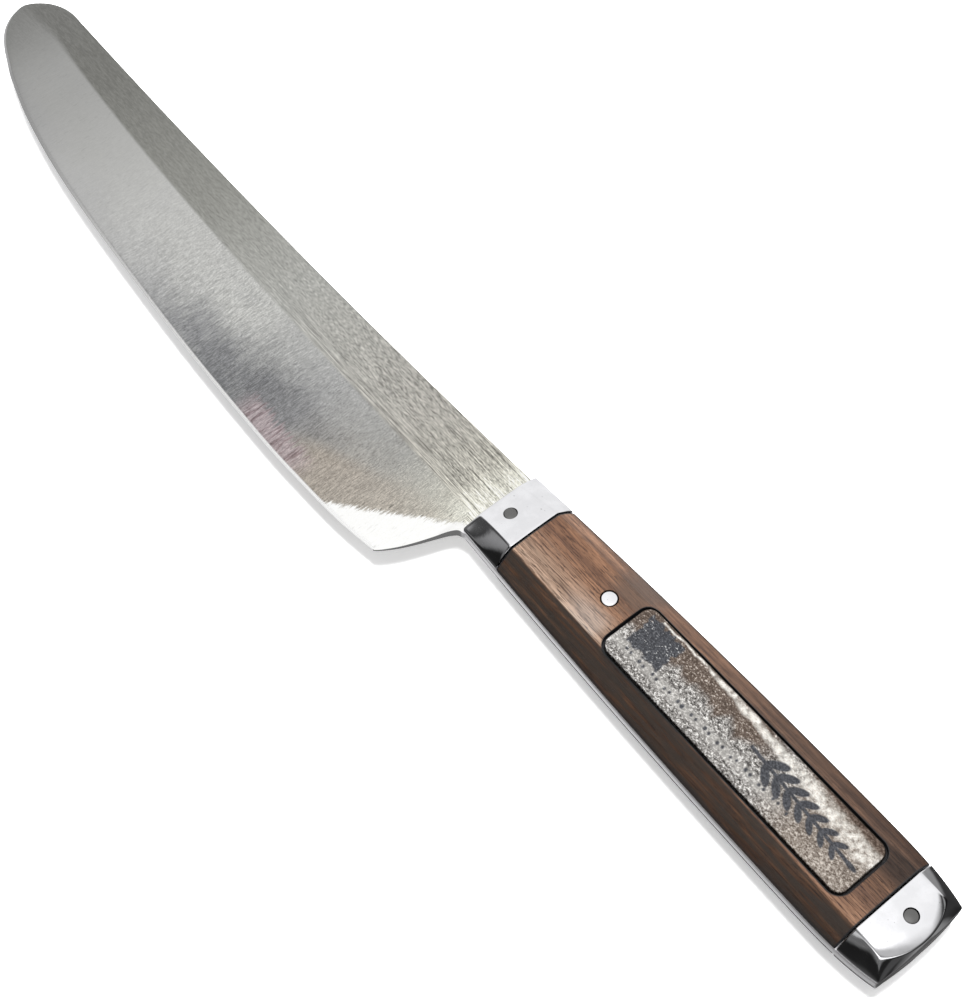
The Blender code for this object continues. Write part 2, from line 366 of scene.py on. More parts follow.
    def set(self, **values):
        for key, value in values.items():
            self.put(self.bsdf.inputs[key.replace('_', ' ')], value)
        return self.mat


def grey(value):
    return (value, value, value)


def blade_material():
    """Satin steel: long mill grain on the body, cross grinding on the bevel."""
    s = Shader("blade_steel")
    x = s.axis(0)
    y = s.axis(1)
    along = s.span(x, -206.0, 0.0, smooth=False)
    under = s.attribute("below_grind")
    soft_point = s.span(x, -200.0, -160.0, 0.25, 1.0)
    bevel = s.span(s.mul(under, soft_point), -0.5, 0.5)
    bevel = s.mul(bevel, s.span(x, -206.0, -176.0, 0.30, 1.0))
    # body: mottled at the point, with fibres that grow strong towards the handle; its tone, which brightens
    # from grey at the point to cream at the handle, is painted reflection
    body_tone_and_reflection = s.ramp(along, [(0.0, (0.205, 0.205, 0.195)), (0.18, (0.21, 0.21, 0.195)),
                          (0.45, (0.32, 0.32, 0.297)), (0.62, (0.45, 0.45, 0.425)),
                          (0.86, (0.43, 0.415, 0.38)), (0.955, (0.50, 0.485, 0.43)),
                          (1.0, (0.86, 0.85, 0.75))])
    mottle = s.noise((0.4, 2.0, 2.0), 4.0, 0.7)
    fibre = s.noise((0.09, 3.6, 3.6), 3.0, 0.65, 0.1, turn=-2)
    fine = s.noise((0.9, 5.6, 5.6), 2.0, 0.6, 0.1, offset=(7.0, 3.0, 0.0))
    # long fibres lie along the grind line and at the handle, short flecks elsewhere
    long_share = s.most(s.mul(s.span(under, -6.5, -1.0), s.span(x, -120.0, -60.0)),
                        s.span(x, -40.0, -8.0, 0.0, 0.6))
    long_share = s.add(s.mul(long_share, 0.55), 0.20)
    grain = s.add(s.mul(fibre, long_share), s.mul(fine, s.rest(long_share)))
    strength = s.add(s.span(x, -135.0, -25.0, 0.15, 0.95), s.span(x, -26.0, -8.0, 0.0, 0.35))
    soft = s.span(mottle, 0.3, 0.7, 0.88, 1.12)
    streak = s.span(grain, 0.37, 0.63, 0.38, 1.66, smooth=False)
    body = s.times(body_tone_and_reflection, s.mul(soft, s.around_one(streak, strength)))
    # bevel: painted reflection in tones that change along the blade and from the grind line down to the edge,
    # and short marks across it
    upper = s.ramp(along, [(0.0, (0.36, 0.36, 0.355)), (0.18, (0.40, 0.40, 0.39)),
                           (0.40, (0.54, 0.54, 0.525)), (0.62, (0.54, 0.54, 0.52)),
                           (0.76, (0.42, 0.42, 0.415)), (0.88, (0.375, 0.372, 0.355)),
                           (0.96, (0.55, 0.54, 0.48)), (1.0, (0.85, 0.85, 0.76))])
    lower = s.ramp(along, [(0.0, grey(0.22)), (0.12, grey(0.33)), (0.28, (0.49, 0.49, 0.485)),
                           (0.45, (0.48, 0.48, 0.475)), (0.57, (0.29, 0.292, 0.298)),
                           (0.68, (0.205, 0.208, 0.214)), (0.76, (0.25, 0.25, 0.255)),
                           (0.85, (0.36, 0.345, 0.32)), (0.93, (0.46, 0.43, 0.38))])
    cloud = s.noise((0.07, 0.12, 0.1), 3.0, 0.55)
    ragged = s.noise((1.6, 0.16, 1.0), 3.0, 0.6, turn=14)
    lowered = s.add(under, s.span(x, -110.0, -45.0, -5.0, 4.0))
    depth = s.add(s.span(lowered, 4.0, 20.0), s.span(cloud, 0.3, 0.7, -0.15, 0.15))
    depth = s.math('ADD', depth, s.span(ragged, 0.3, 0.7, -0.16, 0.16), clamp=True)
    ground = s.mix(depth, upper, lower)
    # painted reflections: a rosy patch by the edge and tan above the heel; and a painted white highlight
    # behind a scratched border at the heel
    over = s.attribute("from_edge")
    slant = s.sub(s.mul(x, 0.336), s.add(y, 7.6))
    tan_reflection = s.mul(s.span(slant, -2.0, 3.0), s.span(x, -50.0, -36.0))
    tan_reflection = s.mul(tan_reflection, s.span(x, -38.0, -8.0, 0.75, 0.25))
    ground = s.mix(tan_reflection, ground, (0.42, 0.37, 0.315))
    rosy_reflection = s.mul(s.span(x, -63.0, -56.0), s.span(x, -33.0, -41.0))
    rosy_reflection = s.mul(rosy_reflection, s.span(s.add(over, s.span(ragged, 0.3, 0.7, -1.5, 1.5)), 6.6, 4.4))
    maroon = s.mix(s.span(ragged, 0.34, 0.54), (0.24, 0.175, 0.185), (0.48, 0.405, 0.415))
    ground = s.mix(s.mul(rosy_reflection, 0.8), ground, maroon)
    heel = s.sub(s.mul(x, 0.82), s.add(y, 8.2))
    fray = s.noise((3.2, 0.5, 1.0), 2.0, 0.6, turn=18, offset=(8.0, 2.0, 0.0))
    frayed = s.add(s.span(ragged, 0.3, 0.7, -0.4, 0.4), s.span(fray, 0.3, 0.7, -0.7, 0.7))
    heel = s.add(heel, frayed)
    ground = s.mix(s.span(heel, -0.9, 0.7), ground, (1.0, 1.0, 0.98))
    cross = s.noise((5.0, 0.5, 1.0), 3.0, 0.65, turn=14)
    haze = s.noise((3.6, 2.6, 1.0), 3.0, 0.65, turn=24)
    cross_amount = s.mul(s.span(x, -150.0, -80.0, 0.12, 1.0), s.span(heel, 1.0, -1.0, 0.1, 1.0))
    marks = s.mul(s.span(cross, 0.34, 0.66, 0.76, 1.26), s.span(haze, 0.34, 0.66, 0.80, 1.22))
    marks = s.around_one(marks, cross_amount)
    nick = s.noise((2.6, 0.45, 1.0), 1.0, 0.4, turn=20, offset=(3.0, 9.0, 0.0))
    border = s.mul(s.span(heel, -5.0, -1.5), s.span(heel, 1.0, -0.5))
    nicks = s.mul(s.span(nick, 0.68, 0.72), s.span(border, 0.0, 1.0, 0.15, 1.0))
    ground = s.times(ground, s.mul(marks, s.rest(s.mul(nicks, 0.6))))
    color = s.mix(bevel, body, ground)
    # the edge bevel is paler steel, painted up to near white towards the handle as a highlight
    rim = s.span(over, 0.85, 0.50)
    color = s.mix(rim, color, s.mix(s.span(x, -195.0, -120.0), grey(0.48), (0.92, 0.92, 0.91)))
    # the blunt wall of the choil is painted grey, standing in for shade
    color = s.mix(s.span(over, -0.6, -1.6), color, grey(0.36))
    # the strip of tang between the scales is plain and polished
    tang = s.span(x, -0.4, 0.2)
    strip_noise = s.noise((0.12, 1.5, 1.5), 3.0, 0.5)
    strip = s.mix(s.span(strip_noise, 0.35, 0.65), (0.86, 0.85, 0.87), (0.95, 0.94, 0.96))
    # the end of the tang at the butt is painted dark grey, standing in for shade
    strip = s.mix(s.span(x, X_BUTT - 0.6, X_BUTT + 0.1), strip, grey(0.14))
    color = s.mix(tang, color, strip)
    rough = s.mix(bevel, grey(0.34), s.mix(rim, grey(0.30), grey(0.2)))
    height = s.add(s.mul(grain, strength), s.mul(s.mul(cross, cross_amount), bevel))
    height = s.mul(height, s.rest(tang))
    normal = s.bump(height, 0.00004, 0.6)
    return s.set(Base_Color=color, Metallic=1.0, Roughness=rough, Normal=normal)


def polished_material(name, tint, roughness):
    """Mirror-polished steel with faint wipe marks and hairline scratches."""
    s = Shader(name)
    cloud = s.noise((0.25, 0.25, 0.25), 3.0, 0.5)
    hair = s.noise((0.5, 6.0, 6.0), 2.0, 0.5, turn=35)
    wear_and_highlight = s.span(hair, 0.62, 0.72)
    rough = s.add(s.span(cloud, 0.35, 0.7, roughness * 0.6, roughness * 1.5), s.mul(wear_and_highlight, 0.06))
    pit = s.noise((1.6, 1.6, 1.6), 1.0, 0.4, offset=(2.0, 5.0, 1.0))
    color = s.mix(s.span(cloud, 0.35, 0.65), [c * 0.92 for c in tint], tint)
    color = s.mix(s.span(pit, 0.76, 0.80, 0.0, 0.7), color, [c * 0.3 for c in tint])
    normal = s.bump(s.add(cloud, s.mul(hair, 0.05)), 0.00006, 0.35)
    return s.set(Base_Color=color, Metallic=1.0, Roughness=rough, Normal=normal)


def wood_material():
    """Oiled rosewood: thin dark pores and pale lines on a warm brown ground."""
    s = Shader("rosewood")
    x = s.axis(0)
    y = s.axis(1)
    bands = s.noise((0.02, 0.36, 0.36), 4.0, 0.6, 0.4, turn=1.5)
    line = s.noise((0.085, 3.6, 3.6), 3.0, 0.65, turn=1.0)
    pale = s.noise((0.14, 5.0, 5.0), 2.0, 0.5, offset=(4.0, 1.0, 2.0))
    pores = s.noise((0.36, 7.0, 7.0), 2.0, 0.6)
    warm = s.ramp(bands, [(0.34, (0.060, 0.027, 0.015)), (0.50, (0.115, 0.056, 0.030)),
                          (0.66, (0.19, 0.098, 0.055))])
    tan_reflection = s.ramp(bands, [(0.34, (0.115, 0.075, 0.052)), (0.50, (0.20, 0.130, 0.090)),
                         (0.66, (0.27, 0.195, 0.145))])
    side = s.add(y, s.span(bands, 0.35, 0.65, -1.5, 1.5))
    # painted shade: the sloping sides, the near one most, are darker than the flat face, and so is the rear
    # far corner
    width = s.add(s.mul(s.sub(x, BOLSTER_LEN), FLAT_SPREAD), FLAT_NOSE + FLAT_RISE)
    past = s.span(s.sub(s.math('ABSOLUTE', y), width), -0.15, 0.25)
    near_side = s.mul(past, s.span(y, 1.0, -1.0))
    far_side = s.mul(past, s.span(y, -1.0, 1.0))
    # painted sheen: greyer tan colours on the near half of the face, towards the front
    painted_sheen = s.mul(s.span(side, 2.5, -5.0), s.span(x, 70.0, 30.0, 0.15, 1.0))
    color = s.mix(s.mul(painted_sheen, s.rest(near_side)), warm, tan_reflection)
    color = s.mix(s.span(pale, 0.57, 0.68, 0.0, 0.6), color, s.times(color, 1.9))
    color = s.mix(s.span(line, 0.52, 0.64, 0.0, 0.85), color, (0.030, 0.014, 0.009))
    color = s.mix(s.span(pores, 0.56, 0.64, 0.0, 0.85), color, (0.020, 0.010, 0.008))
    rear = s.mul(s.span(x, 84.0, 114.0), s.span(y, -5.0, 6.0))
    patches = s.noise((0.07, 0.9, 0.9), 3.0, 0.6, offset=(1.0, 6.0, 3.0))
    dim = s.rest(s.mul(near_side, s.span(patches, 0.32, 0.66, 0.93, 0.60)))
    rear_dim = s.sub(0.82, s.mul(far_side, 0.2))
    dim = s.mul(dim, s.rest(s.mul(rear, rear_dim)))
    far_dim = s.mul(s.span(x, 36.0, 84.0, 0.0, 0.58), s.span(x, 114.0, 86.0))
    dim = s.mul(dim, s.rest(s.mul(far_side, far_dim)))
    color = s.times(color, dim)
    # painted shade: near-black patches on the near side
    near_side_shade = s.mul(near_side, s.span(patches, 0.60, 0.45, 0.1, 0.6))
    color = s.mix(near_side_shade, color, (0.030, 0.024, 0.020))
    # a pale patch of painted sheen and a stain by the front end of the nameplate
    pale_sheen = s.mul(s.span(x, 26.0, 35.0), s.mul(s.span(x, 41.0, 38.0), s.span(side, 1.0, -4.0)))
    pale_sheen = s.mul(pale_sheen, s.rest(near_side))
    color = s.mix(s.mul(pale_sheen, 0.22), color, (0.40, 0.36, 0.33))
    stain = s.mul(s.mul(s.span(x, 29.0, 36.0), s.span(x, 46.0, 40.0)), s.span(side, 1.0, 4.0))
    color = s.mix(s.mul(stain, 0.75), color, (0.055, 0.036, 0.027))
    # dirt in the groove of the nameplate and on the joints
    # painted shade also darkens the groove round the nameplate
    groove = s.span(s.box_distance(PLATE_X, PLATE_Y, PLATE_CORNER), 0.85, 0.55)
    joint = s.most(s.span(x, X_SCALE[0] + 0.45, X_SCALE[0] + 0.15),
                   s.span(x, X_SCALE[1] - 0.45, X_SCALE[1] - 0.15))
    # painted shade along the foot of the sides, which covers the whole lower scale
    foot = s.mul(s.span(s.axis(2), BASE + 0.9, BASE + 0.2), 0.7)
    dirt_and_shade = s.most(s.most(groove, joint), foot)
    color = s.mix(dirt_and_shade, color, (0.010, 0.010, 0.011))
    rough = s.span(line, 0.3, 0.7, 0.34, 0.50)
    height = s.sub(s.mul(line, -0.5), s.span(pores, 0.56, 0.70))
    normal = s.bump(height, 0.00006, 0.7)
    return s.set(Base_Color=color, Metallic=0.0, Roughness=rough, Normal=normal)


def plate_material():
    """Dull pewter: stippled ground with painted glints, blackened engraving, painted shade on the far half
    and a painted highlight streak.
    """
    s = Shader("pewter")
    ink = s.attribute("ink")
    # painted shade on the far half of the plate and a painted highlight streak along it
    shade = s.attribute("plate_shade")
    bright = s.attribute("wear_and_highlight")
    stipple = s.noise((1.6, 2.2, 1.5), 3.0, 0.65, 0.5)
    fine = s.noise((2.9, 4.0, 2.0), 2.0, 0.6, offset=(5.0, 2.0, 0.0))
    speck = s.add(s.mul(stipple, 0.6), s.mul(fine, 0.4))
    # stipple: dark pits and pale flecks, the brightest flecks painted glints of the hammered relief
    light = s.ramp(speck, [(0.38, (0.045, 0.042, 0.040)), (0.46, (0.19, 0.18, 0.17)),
                           (0.53, (0.42, 0.40, 0.38)), (0.60, (0.95, 0.93, 0.90))])
    brown = s.ramp(speck, [(0.40, (0.085, 0.064, 0.052)), (0.52, (0.175, 0.136, 0.112)),
                           (0.58, (0.32, 0.262, 0.22)), (0.64, (0.85, 0.77, 0.70))])
    light = s.mix(s.mul(s.attribute("pale_row"), 0.45), light, (0.62, 0.60, 0.57))
    metal = s.mix(shade, light, brown)
    calm = s.span(s.axis(0), 82.0, 98.0, 0.0, 0.75)
    beige = s.ramp(speck, [(0.40, (0.16, 0.125, 0.10)), (0.50, (0.31, 0.255, 0.21)),
                           (0.62, (0.62, 0.54, 0.46))])
    metal = s.mix(calm, metal, beige)
    metal = s.mix(s.mul(shade, calm), metal, s.vector('MULTIPLY', beige, (0.26, 0.20, 0.18)))
    metal = s.mix(bright, metal, s.mix(s.span(fine, 0.35, 0.55), (0.74, 0.67, 0.60), (1.0, 0.98, 0.92)))
    # painted glints in the etched panel
    spark = s.mul(s.span(speck, 0.57, 0.63), s.span(s.axis(0), 60.0, 56.0, 0.1, 1.0))
    dark = s.mix(s.span(fine, 0.4, 0.6), (0.022, 0.023, 0.027), (0.060, 0.062, 0.070))
    dark = s.mix(spark, dark, grey(0.36))
    color = s.mix(ink, metal, dark)
    rough = s.mix(ink, grey(0.30), grey(0.55))
    normal = s.bump(speck, 0.00014, 0.8)
    return s.set(Base_Color=color, Metallic=s.span(ink, 0.0, 1.0, 1.0, 0.4), Roughness=rough, Normal=normal)


def floor_material():
    s = Shader("floor_white")
    cloud = s.noise((0.01, 0.01, 0.01), 3.0, 0.5)
    color = s.mix(cloud, (0.90, 0.90, 0.90), (0.93, 0.93, 0.93))
    return s.set(Base_Color=color, Roughness=0.9, Emission_Color=(1.0, 1.0, 1.0, 1.0), Emission_Strength=0.4)


# ---- blade, tang
def half_width(x):
    """Half width of the handle at the tang."""
    if x < WIDEST_X:
        return HANDLE_HALF_MAX - 2.9 * ((WIDEST_X - x) / WIDEST_X) ** 2
    return HANDLE_HALF_MAX - 1.9 * ((x - WIDEST_X) / 22.0) ** 3


def flat_half(x):
    """Half width of the flat on the side face of the handle."""
    return FLAT_NOSE + FLAT_RISE * min(x, BOLSTER_LEN) / BOLSTER_LEN + FLAT_SPREAD * max(x - BOLSTER_LEN, 0.0)


def spine_y(x):
    if x > -108.0:
        return 7.45 + 2.1 * ((x + 108.0) / 108.0) ** 2
    return 7.45 + 1.2 * ((x + 108.0) / 85.0) ** 2


def grind_y(x):
    return -6.1 + 6.3 * (-x / 188.0) ** 3.2


def body_half(x):
    """Half thickness of the blade above the grind line."""
    t = min(max(x / TIP_X, 0.0), 1.0)
    return TANG_HALF - 0.05 + (TIP_HALF - TANG_HALF + 0.05) * t


def blade_ring(spine, grind, edge, thick, full_bevel, run_out=1.0, sharpened=True):
    """One section, upper side from spine to edge, then the lower side back.

    full_bevel is the width of the bevel down to the cutting edge, also where
    the choil cuts it short. Returns the points, their distance below the grind
    line and their distance from the edge.
    """
    spine, grind, edge = Vector(spine), Vector(grind), Vector(edge)
    body, bevel = (spine - grind).length, (edge - grind).length
    fb, fe = min(1.0, body / 1.5), min(1.0, bevel / 3.2)
    corner = [-body, -body + 0.06 * fb, -body + 0.22 * fb]
    flat = list(np.linspace(corner[2], -GRIND_SOFT * fb, 10)[1:])
    soft = [-GRIND_SOFT * fb / 2, 0.0, GRIND_SOFT * fe / 2]
    face = list(np.linspace(GRIND_SOFT * fe, bevel - (EDGE_BEVEL + 0.12) * fe, 13))
    rim = [bevel - (EDGE_BEVEL - 0.12) * fe, bevel - EDGE_BEVEL * fe / 2, bevel]
    slope = (thick - SHOULDER_HALF) / max(full_bevel - EDGE_BEVEL, 1.0) * run_out
    upper, below, above = [], [], []
    for s in corner + flat + soft + face + rim:
        p = grind.lerp(spine, -s / body) if s < 0 else grind.lerp(edge, s / bevel)
        r = GRIND_SOFT * fe
        fall = 0.0 if s < -r else (s + r) ** 2 / (4 * r) if s < r else s
        z = thick - slope * fall
        if s < -body + 0.2 * fb:
            z = thick - (0.2 if s == -body else 0.06)
        if sharpened and s > bevel - EDGE_BEVEL * fe:
            t = (bevel - s) / (EDGE_BEVEL * fe)
            z = min(z, EDGE_HALF + (SHOULDER_HALF - EDGE_HALF) * t)
        upper.append((p.x, p.y, max(z, EDGE_HALF)))
        below.append(s)
        above.append(bevel - s if sharpened else CHOIL_WALL if s == bevel else 5.0)
    lower = [(x, y, -z) for x, y, z in reversed(upper)]
    return upper + lower, below + below[::-1], above + above[::-1]


def tang_ring(x, w, count):
    """Section of the tang with the blade's point count, its edges eased."""
    n = count // 2
    ease = 0.15
    ys = [w, w - ease * 0.3, w - ease] + list(np.linspace(w - ease, -w + ease, n - 4)[1:-1])
    ys += [-w + ease, -w + ease * 0.3, -w]
    zs = [TANG_HALF - ease, TANG_HALF - ease * 0.3] + [TANG_HALF] * (n - 4)
    zs += [TANG_HALF - ease * 0.3, TANG_HALF - ease]
    upper = [(x, y, z) for y, z in zip(ys, zs)]
    return upper + [(px, py, -pz) for px, py, pz in reversed(upper)]


def tip_distance(points):
    """Distance in the plane from each point to the rim of the round tip."""
    rim = smooth_path(UPPER_TIP, 6) + [(-BLADE_LEN, -0.6)] + smooth_path(LOWER_TIP, 6)[::-1]
    rim = np.array(rim)
    a, b = rim[:-1], rim[1:]
    p = points[:, None, :2]
    span = b - a
    t = np.clip(((p - a) * span).sum(2) / np.maximum((span ** 2).sum(1), 1e-9), 0, 1)
    return np.sqrt((((a + t[..., None] * span) - p) ** 2).sum(2)).min(1)


def build_blade(mat):
    rings, below, above = [], [], []

    def add(ring, under, over):
        rings.append(ring)
        below.extend(under)
        above.extend(over)

    count = len(blade_ring((0, 9.5), (0, -6), (0, -10.8), 1.25, 20.0)[0])
    for t in np.linspace(0.25, 0.97, 7):
        w = half_width(X_BUTT) * t
        add(tang_ring(X_BUTT + BUTT_BULGE * (1 - t * t), w, count), [-20.0] * count, [20.0] * count)
    for x in np.linspace(X_BUTT, 1.0, 60):
        add(tang_ring(x, half_width(x), count), [-20.0] * count, [20.0] * count)
    # choil
    for x, y in smooth_path(CHOIL_POINTS, 5)[:-1]:
        run_out = min(1.0, -x / 3.0)
        grind = grind_y(x) * run_out + (y + 1.6) * (1 - run_out)
        line = -28.2 + (x + 9.6) * 0.12
        add(*blade_ring((x, spine_y(x)), (x, grind), (x, y), body_half(x), grind - line,
                        run_out, sharpened=False))
    # from the heel to the start of the tip
    for x, y in smooth_path(EDGE_POINTS, 14):
        add(*blade_ring((x, spine_y(x)), (x, grind_y(x)), (x, y), body_half(x), grind_y(x) - y))
    # round tip
    upper, lower = smooth_path(UPPER_TIP, 8), smooth_path(LOWER_TIP, 10)
    for spine, edge in list(zip(upper, lower))[1:]:
        t = (spine[0] - upper[0][0]) / (-BLADE_LEN - upper[0][0])
        grind = (spine[0], grind_y(TIP_X) - 0.6 * t)
        width = math.hypot(grind[0] - edge[0], grind[1] - edge[1])
        add(*blade_ring(spine, grind, edge, TIP_HALF, width))
    add(*blade_ring((-BLADE_LEN, 0.0), (-BLADE_LEN, -0.6), (-BLADE_LEN, -1.2), 0.3, 0.6))
    verts, faces = loft(rings)
    # the faces fall away towards the rim of the tip
    near = tip_distance(verts)
    blend = np.clip((-186.0 - verts[:, 0]) / 12.0, 0, 1)
    fall = np.clip(1 - near / 4.5, 0, 1) ** 2 * blend
    verts[:, 2] *= 1 - 0.62 * fall
    ob = build_mesh("blade_and_tang", verts, faces, {"below_grind": below, "from_edge": above})
    return finish_piece(ob, mat, "blade")


# ---- handle
def flank_path(w, u, base, crest, t):
    """(y, z) on a sloping side, from the tang at t 0 to the crease at t 1."""
    arc_in = (1 - math.cos(t * FLANK_ARC)) / (1 - math.cos(FLANK_ARC))
    arc_up = math.sin(t * FLANK_ARC) / math.sin(FLANK_ARC)
    return (w - (w - u) * (t + (arc_in - t) * FLANK_BULGE),
            base + (crest - base) * (t + (arc_up - t) * FLANK_BULGE))


def curve_through(a, b, c, t):
    """Point at t on the quadratic curve from a to c that b pulls."""
    a, b, c = Vector(a), Vector(b), Vector(c)
    return tuple(a * (1 - t) ** 2 + b * 2 * t * (1 - t) + c * t * t)


def half_section(w, u, h, side, crown=CROWN, foot=0.0):
    """(y, z) outline of one handle half: sloping side, eased crease, crowned top.

    foot is the height of a small upright roll where the side meets the tang.
    """
    crest = h - crown
    bottom = BASE + foot
    crease = (u, crest)
    last = 1 - 1.2 * CREASE_ROUND / math.hypot(w - u, crest - bottom)
    first = 0.1 if foot else 0.0
    flank = [flank_path(w, u, bottom, crest, t) for t in np.linspace(first, last, FLANK_STEPS)]
    start = flank[-1]
    if foot:
        stand, join = (w, bottom - 0.5 * foot), flank[0]
        flank = [(w, BASE)] + [curve_through(stand, (w, bottom), join, t) for t in (0.0, 0.3, 0.6)] + flank
    end_y = u - CREASE_ROUND
    end = (end_y, h - crown * (end_y / u) ** 2)
    flank += [curve_through(start, crease, end, t) for t in (0.25, 0.5, 0.75)]
    half_top = [(y, h - crown * (y / u) ** 2) for y in np.linspace(end_y, 0, TOP_STEPS)]
    right = flank + half_top
    return [(y, side * z) for y, z in right + [(-y, z) for y, z in reversed(right[:-1])]]


def bolster_height(x):
    left = max(1 - x / BOLSTER_LEN, 0.0)
    return BOLSTER_NOSE + (HALF_HEIGHT - BOLSTER_NOSE) * (1 - left ** BOLSTER_CURVE)


def build_bolster(name, side, mat, drill, node):
    rings = []
    xs = [NOSE_ROUND * (1 - math.cos(math.radians(a))) for a in (0, 22.5, 45, 67.5, 90)]
    xs += list(np.linspace(NOSE_ROUND, X_BOLSTER - 0.2, 26)[1:]) + [X_BOLSTER - 0.06, X_BOLSTER]
    for x in xs:
        drop = 0.0
        if x < NOSE_ROUND:
            drop = NOSE_ROUND * (1 - math.sqrt(max(0.0, 1 - (1 - x / NOSE_ROUND) ** 2)))
        if x > X_BOLSTER - 0.1:
            drop = 0.12 * (x - X_BOLSTER + 0.1) / 0.1
        section = half_section(half_width(x) - drop * 0.6, flat_half(x) - drop * 0.4,
                               bolster_height(x) - drop, side, foot=FOOT_ROUND)
        rings.append([(x, y, z) for y, z in section])
    ob = build_mesh(name, *loft(rings))
    cut(ob, [drill])
    return finish_piece(ob, mat, node)


def build_scale(name, side, mat, cutters, node):
    x0, x1 = X_SCALE
    rings = []
    ease = 0.12
    for x in [x0, x0 + ease * 0.3] + list(np.linspace(x0 + ease, x1 - ease, 110)) + [x1 - ease * 0.3, x1]:
        end = min(x - x0, x1 - x)
        drop = ease * (1 - min(1.0, end / ease)) ** 2
        section = half_section(half_width(x) - drop, flat_half(x), HALF_HEIGHT - drop, side, crown=WOOD_CROWN)
        rings.append([(x, y, z) for y, z in section])
    ob = build_mesh(name, *loft(rings))
    cut(ob, cutters)
    return finish_piece(ob, mat, node)


def build_cap(name, side, mat, drill, node):
    """Butt cap from patches: two flanks, a bulging end face and a crowned top."""
    x0 = X_CAP
    x_end = X_BUTT
    arc, along, across = 14, 22, 24
    verts, faces = [], []

    def patch(points):
        rows, cols = len(points), len(points[0])
        start = len(verts)
        verts.extend(p for row in points for p in row)
        for i in range(rows - 1):
            for j in range(cols - 1):
                a = start + i * cols + j
                faces.append((a, a + 1, a + cols + 1, a + cols))

    def rim_z(v, q):
        """Height of the top at v across and q along: crowned, rolled off at the rim."""
        roll = max(0.0, q - CAP_ROLL_START) / (1 - CAP_ROLL_START)
        return HALF_HEIGHT - CROWN * v * v - CAP_DROP * q ** 3 - CAP_ROLL * roll ** 2

    def up_side(k):
        """Foot first, then the share of the way up the slope."""
        return (BASE, 0.0) if k == 0 else (BASE + FOOT_ROUND, (k - 1) / (arc - 1))

    def flank_point(s, k, sign):
        bottom, t = up_side(k)
        xb = x0 + (x_end - x0) * s
        xt = x0 + (CAP_ARC_START - x0) * s
        u = flat_half(x0) + (CAP_RIM_HALF - flat_half(x0)) * s
        y, z = flank_path(half_width(xb), u, bottom, rim_z(1.0, s), t)
        return (xb + (xt - xb) * t, sign * y, side * z)

    for sign in (1, -1):
        patch([[flank_point(i / along, k, sign) for k in range(arc + 1)] for i in range(along + 1)])
    rows = []
    for k in range(arc + 1):
        corner = flank_point(1.0, k, 1)
        bottom, t = up_side(k)
        bulge = CAP_FOOT_BULGE + (CAP_ARC_BULGE - CAP_FOOT_BULGE) * t
        row = []
        for j in range(across + 1):
            v = 1 - 2 * j / across
            x = corner[0] + bulge * (1 - v * v) ** CAP_ARC_POWER
            _, z = flank_path(1.0, 0.0, bottom, rim_z(v, 1.0), t)
            row.append((x, corner[1] * v, side * z))
        rows.append(row)
    patch(rows)
    top = []
    for i in range(along + 1):
        q = i / along
        row = []
        for j in range(across + 1):
            v = 1 - 2 * j / across
            x_rim = CAP_ARC_START + CAP_ARC_BULGE * (1 - v * v) ** CAP_ARC_POWER
            u = flat_half(x0) + (CAP_RIM_HALF - flat_half(x0)) * q
            row.append((x0 + (x_rim - x0) * q, u * v, side * rim_z(v, q)))
        top.append(row)
    patch(top)
    ob = build_mesh(name, verts, faces)
    # close the joint face and the base
    bm = bmesh.new()
    bm.from_mesh(ob.data)
    open_edges = [e for e in bm.edges if e.is_boundary]
    joint_x = ORIGIN[0] + x0 * MM
    joint = [e for e in open_edges if all(abs(v.co.x - joint_x) < 1e-6 for v in e.verts)]
    ends = [v for v in {v for e in joint for v in e.verts} if sum(e in joint for e in v.link_edges) == 1]
    joint.append(bm.edges.new(ends))
    bmesh.ops.edgeloop_fill(bm, edges=joint)
    bmesh.ops.edgeloop_fill(bm, edges=[e for e in bm.edges if e.is_boundary])
    bmesh.ops.recalc_face_normals(bm, faces=bm.faces)
    bm.to_mesh(ob.data)
    bm.free()
    mod = ob.modifiers.new("rims", 'BEVEL')
    mod.width = CAP_BEVEL * MM
    mod.segments = 3
    mod.limit_method = 'ANGLE'
    mod.angle_limit = math.radians(13)
    cut(ob, [drill])
    return finish_piece(ob, mat, node)


# ---- nameplate
def plate_half_y(x):
    """Half width of the rounded plate at x."""
    half = (PLATE_Y[1] - PLATE_Y[0]) / 2
    from_end = min(x - PLATE_X[0], PLATE_X[1] - x)
    inward = max(PLATE_CORNER - max(from_end, 0.0), 0.0)
    return half - PLATE_CORNER + math.sqrt(PLATE_CORNER ** 2 - inward ** 2)


def lattice_noise(x, y, cell, seed):
    """Smooth value noise on a lattice, from -1 to 1."""
    rng = np.random.default_rng(seed)
    table = rng.uniform(-1, 1, (256, 256))
    gx, gy = x / cell, y / cell
    ix, iy = np.floor(gx).astype(int), np.floor(gy).astype(int)
    fx, fy = gx - ix, gy - iy
    fx, fy = fx * fx * (3 - 2 * fx), fy * fy * (3 - 2 * fy)

    def at(i, j):
        return table[i % 256, j % 256]
    low = at(ix, iy) * (1 - fx) + at(ix + 1, iy) * fx
    high = at(ix, iy + 1) * (1 - fx) + at(ix + 1, iy + 1) * fx
    return low * (1 - fy) + high * fy


def step_in(distance, soft=0.12):
    """1 inside a shape, 0 outside, with a soft rim; distance is negative inside."""
    t = np.clip(0.5 - distance / (2 * soft), 0, 1)
    return t * t * (3 - 2 * t)


